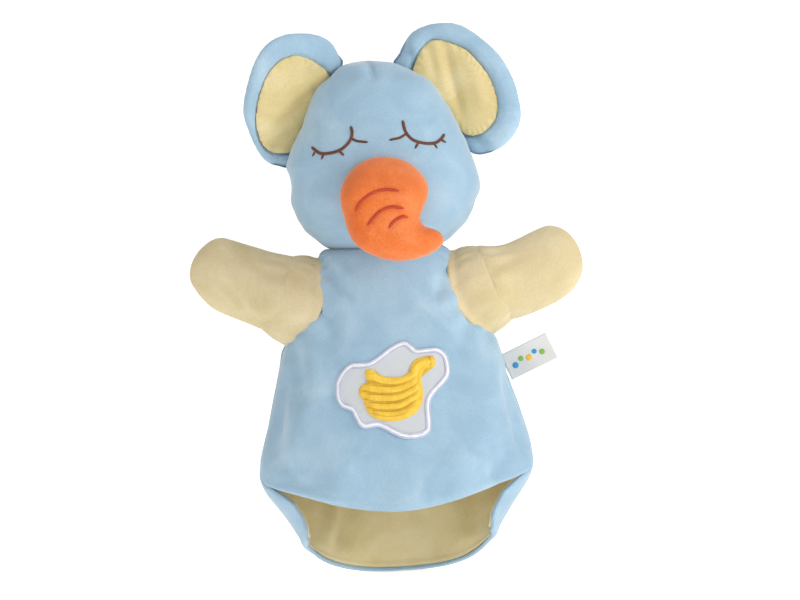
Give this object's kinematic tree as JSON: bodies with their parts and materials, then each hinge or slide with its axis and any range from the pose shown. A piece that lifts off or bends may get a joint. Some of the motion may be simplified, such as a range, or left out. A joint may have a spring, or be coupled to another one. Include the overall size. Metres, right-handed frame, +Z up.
{
  "type": "hand puppet",
  "caption": "Plush elephant glove puppet with open arms, orange stuffed trunk, turning head, flopping ears and a longer back hem over a cream lined hand opening.",
  "frame": {"origin": "the middle of the hand opening, at the level of the lowest point of the back hem", "axes": "X to the puppet's left, which is the viewer's right; Y to the back, so the face looks along -Y; Z up, along the body from the hand opening to the head"},
  "size_m": [0.2136, 0.1045, 0.2969],
  "materials": {
    "blue_plush": "short pile, soft sheen",
    "cream_plush": "short pile, soft sheen",
    "cream_lining": "short pile, matt",
    "orange_plush": "short pile, soft sheen",
    "stuffing": "loose fibre",
    "brown_thread": "satin stitched thread",
    "red_thread": "satin stitched thread",
    "yellow_thread": "satin stitched thread",
    "white_thread": "satin stitched thread",
    "patch_cloth": "brushed cloth, matt",
    "label_ribbon": "woven ribbon, satin"
  },
  "bodies": {
    "torso": {"body_front_panel": "blue_plush", "body_back_panel": "blue_plush", "body_front_lining": "cream_lining", "body_back_lining": "cream_lining", "belly_patch": "patch_cloth", "patch_border": "white_thread", "banana_bunch": "yellow_thread"},
    "label": {"side_label": "label_ribbon"},
    "neck": {"neck_seam": "blue_plush"},
    "neck_funnel": {"neck_lining": "cream_lining"},
    "head": {"head_front_panel": "blue_plush", "head_back_panel": "blue_plush", "head_stuffing": "stuffing", "finger_pocket": "cream_lining", "eye_left": "brown_thread", "eye_right": "brown_thread"},
    "trunk": {"trunk_front_panel": "orange_plush", "trunk_back_panel": "orange_plush", "trunk_stuffing": "stuffing", "trunk_crease_1": "red_thread", "trunk_crease_2": "red_thread", "trunk_crease_3": "red_thread"},
    "ear_left": {"ear_left_back": "blue_plush", "ear_left_lining": "cream_plush", "ear_left_wadding": "stuffing"},
    "ear_right": {"ear_right_back": "blue_plush", "ear_right_lining": "cream_plush", "ear_right_wadding": "stuffing"},
    "arm_left_root": {"armhole_seam_left": "cream_plush"},
    "arm_left": {"arm_left_front_panel": "cream_plush", "arm_left_back_panel": "cream_plush", "arm_left_lining": "cream_lining"},
    "arm_right_root": {"armhole_seam_right": "cream_plush"},
    "arm_right": {"arm_right_front_panel": "cream_plush", "arm_right_back_panel": "cream_plush", "arm_right_lining": "cream_lining"}
  },
  "joints": [
    {"name": "head_turn", "type": "hinge", "parent": "torso", "child": "neck", "pos_m": [0.0015, 0, 0.172], "axis": [0, 0, -1], "range_deg": [-35, 35]},
    {"name": "head_nod", "type": "hinge", "parent": "neck", "child": "neck_funnel", "pos_m": [0.0015, 0, 0.172], "axis": [1, 0, 0], "range_deg": [-12, 15]},
    {"name": "head_tilt", "type": "hinge", "parent": "neck_funnel", "child": "head", "pos_m": [0.0015, 0, 0.172], "axis": [0, 1, 0], "range_deg": [-10, 10]},
    {"name": "trunk_lift", "type": "hinge", "parent": "head", "child": "trunk", "pos_m": [0.0015, -0.0402, 0.226], "axis": [-1, 0, 0], "range_deg": [0, 50], "stiffness_Nm_per_rad": 0.01},
    {"name": "ear_left_flop", "type": "hinge", "parent": "head", "child": "ear_left", "pos_m": [-0.0195, 0.0045, 0.274], "axis": [-0.5832, 0, -0.8123], "range_deg": [-25, 25], "stiffness_Nm_per_rad": 0.01},
    {"name": "ear_right_flop", "type": "hinge", "parent": "head", "child": "ear_right", "pos_m": [0.0225, 0.0045, 0.274], "axis": [-0.5832, 0, 0.8123], "range_deg": [-25, 25], "stiffness_Nm_per_rad": 0.01},
    {"name": "arm_left_raise", "type": "hinge", "parent": "torso", "child": "arm_left_root", "pos_m": [-0.0605, 0, 0.157], "axis": [0, 1, 0], "range_deg": [-45, 30]},
    {"name": "arm_left_hug", "type": "hinge", "parent": "arm_left_root", "child": "arm_left", "pos_m": [-0.0605, 0, 0.157], "axis": [0, 0, 1], "range_deg": [-20, 55]},
    {"name": "arm_right_raise", "type": "hinge", "parent": "torso", "child": "arm_right_root", "pos_m": [0.0605, 0, 0.157], "axis": [0, -1, 0], "range_deg": [-40, 36]},
    {"name": "arm_right_hug", "type": "hinge", "parent": "arm_right_root", "child": "arm_right", "pos_m": [0.0605, 0, 0.157], "axis": [0, 0, -1], "range_deg": [-20, 55]},
    {"name": "label_flip", "type": "hinge", "parent": "torso", "child": "label", "pos_m": [0.0649, 0, 0.1085], "axis": [-0.3907, 0, 0.9205], "range_deg": [-55, 55], "stiffness_Nm_per_rad": 0.0005}
  ]
}
